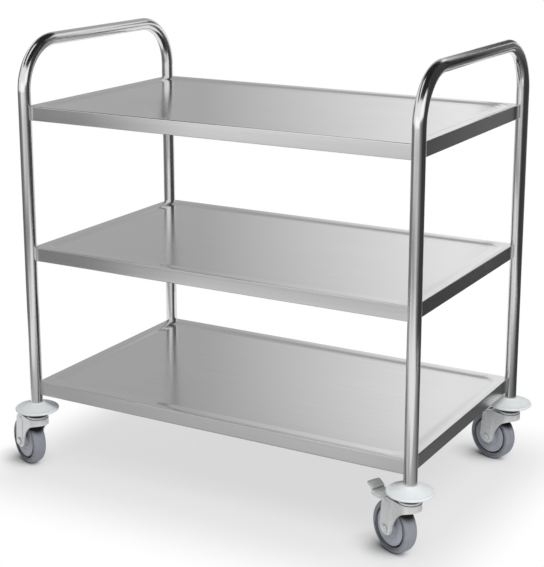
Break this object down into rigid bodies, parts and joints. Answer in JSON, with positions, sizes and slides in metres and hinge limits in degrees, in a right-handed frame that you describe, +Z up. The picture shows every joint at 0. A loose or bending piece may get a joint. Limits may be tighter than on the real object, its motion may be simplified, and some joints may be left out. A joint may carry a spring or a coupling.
{
  "type": "serving trolley",
  "caption": "Stainless serving trolley with dished shelves between bent tube end frames that form push handles, on swivel casters with bumper discs and foot brakes.",
  "frame": {"origin": "on the floor, midway between the four posts", "axes": "+X along the trolley from the left handle to the right one, +Y from front to rear, +Z up"},
  "size_m": [0.9599, 0.5897, 0.8855],
  "materials": {
    "polished_tube": "stainless tube, polished",
    "satin_sheet": "stainless sheet, satin ground",
    "stainless_fixings": "stainless fixings, as made",
    "zinc_steel": "pressed steel, zinc plated",
    "bearing_steel": "ground bearing steel",
    "bumper_plastic": "pale grey moulding, smooth",
    "hub_plastic": "grey moulding, fine grain",
    "tyre_rubber": "grey non-marking rubber",
    "insert_plastic": "black moulding",
    "brake_rubber": "black rubber"
  },
  "bodies": {
    "trolley": {"left_end_frame": "polished_tube", "right_end_frame": "polished_tube", "bottom_shelf": "satin_sheet", "middle_shelf": "satin_sheet", "top_shelf": "satin_sheet", "corner_brackets": "satin_sheet", "shelf_bolts": "stainless_fixings", "shelf_washers": "stainless_fixings", "rivet_nuts": "stainless_fixings", "tube_inserts": "insert_plastic", "front_left_bumper": "bumper_plastic", "front_left_stem": "zinc_steel", "front_left_upper_race": "zinc_steel", "front_left_swivel_balls": "bearing_steel", "front_right_bumper": "bumper_plastic", "front_right_stem": "zinc_steel", "front_right_upper_race": "zinc_steel", "front_right_swivel_balls": "bearing_steel", "rear_right_bumper": "bumper_plastic", "rear_right_stem": "zinc_steel", "rear_right_upper_race": "zinc_steel", "rear_right_swivel_balls": "bearing_steel", "rear_left_bumper": "bumper_plastic", "rear_left_stem": "zinc_steel", "rear_left_upper_race": "zinc_steel", "rear_left_swivel_balls": "bearing_steel"},
    "front_left_swivel": {"front_left_fork": "zinc_steel", "front_left_axle_bolt": "zinc_steel", "front_left_axle_nut": "zinc_steel", "front_left_axle_sleeve": "bearing_steel"},
    "front_left_wheel": {"front_left_hub": "hub_plastic", "front_left_tyre": "tyre_rubber"},
    "front_right_swivel": {"front_right_fork": "zinc_steel", "front_right_axle_bolt": "zinc_steel", "front_right_axle_nut": "zinc_steel", "front_right_axle_sleeve": "bearing_steel", "front_right_brake_pin": "zinc_steel"},
    "front_right_wheel": {"front_right_hub": "hub_plastic", "front_right_tyre": "tyre_rubber"},
    "front_right_brake": {"front_right_brake_lever": "zinc_steel", "front_right_brake_shoe": "brake_rubber"},
    "rear_right_swivel": {"rear_right_fork": "zinc_steel", "rear_right_axle_bolt": "zinc_steel", "rear_right_axle_nut": "zinc_steel", "rear_right_axle_sleeve": "bearing_steel", "rear_right_brake_pin": "zinc_steel"},
    "rear_right_wheel": {"rear_right_hub": "hub_plastic", "rear_right_tyre": "tyre_rubber"},
    "rear_right_brake": {"rear_right_brake_lever": "zinc_steel", "rear_right_brake_shoe": "brake_rubber"},
    "rear_left_swivel": {"rear_left_fork": "zinc_steel", "rear_left_axle_bolt": "zinc_steel", "rear_left_axle_nut": "zinc_steel", "rear_left_axle_sleeve": "bearing_steel"},
    "rear_left_wheel": {"rear_left_hub": "hub_plastic", "rear_left_tyre": "tyre_rubber"}
  },
  "joints": [
    {"name": "front_left_swivel_turn", "type": "hinge", "parent": "trolley", "child": "front_left_swivel", "pos_m": [-0.415, -0.25, 0.11], "axis": [0, 0, 1], "continuous": true},
    {"name": "front_left_wheel_turn", "type": "hinge", "parent": "front_left_swivel", "child": "front_left_wheel", "pos_m": [-0.45154, -0.23373, 0.05], "axis": [-0.4067, -0.9135, 0], "continuous": true},
    {"name": "front_right_swivel_turn", "type": "hinge", "parent": "trolley", "child": "front_right_swivel", "pos_m": [0.415, -0.25, 0.11], "axis": [0, 0, 1], "continuous": true},
    {"name": "front_right_wheel_turn", "type": "hinge", "parent": "front_right_swivel", "child": "front_right_wheel", "pos_m": [0.37905, -0.23247, 0.05], "axis": [-0.4384, -0.8988, 0], "continuous": true},
    {"name": "front_right_brake_press", "type": "hinge", "parent": "front_right_swivel", "child": "front_right_brake", "pos_m": [0.37545, -0.23071, 0.103], "axis": [-0.4384, -0.8988, 0], "range_deg": [0, 10]},
    {"name": "rear_right_swivel_turn", "type": "hinge", "parent": "trolley", "child": "rear_right_swivel", "pos_m": [0.415, 0.25, 0.11], "axis": [0, 0, 1], "continuous": true},
    {"name": "rear_right_wheel_turn", "type": "hinge", "parent": "rear_right_swivel", "child": "rear_right_wheel", "pos_m": [0.37696, 0.26236, 0.05], "axis": [-0.309, -0.9511, 0], "continuous": true},
    {"name": "rear_right_brake_press", "type": "hinge", "parent": "rear_right_swivel", "child": "rear_right_brake", "pos_m": [0.37315, 0.2636, 0.103], "axis": [-0.309, -0.9511, 0], "range_deg": [0, 10]},
    {"name": "rear_left_swivel_turn", "type": "hinge", "parent": "trolley", "child": "rear_left_swivel", "pos_m": [-0.415, 0.25, 0.11], "axis": [0, 0, 1], "continuous": true},
    {"name": "rear_left_wheel_turn", "type": "hinge", "parent": "rear_left_swivel", "child": "rear_left_wheel", "pos_m": [-0.45209, 0.26498, 0.05], "axis": [-0.3746, -0.9272, 0], "continuous": true}
  ]
}
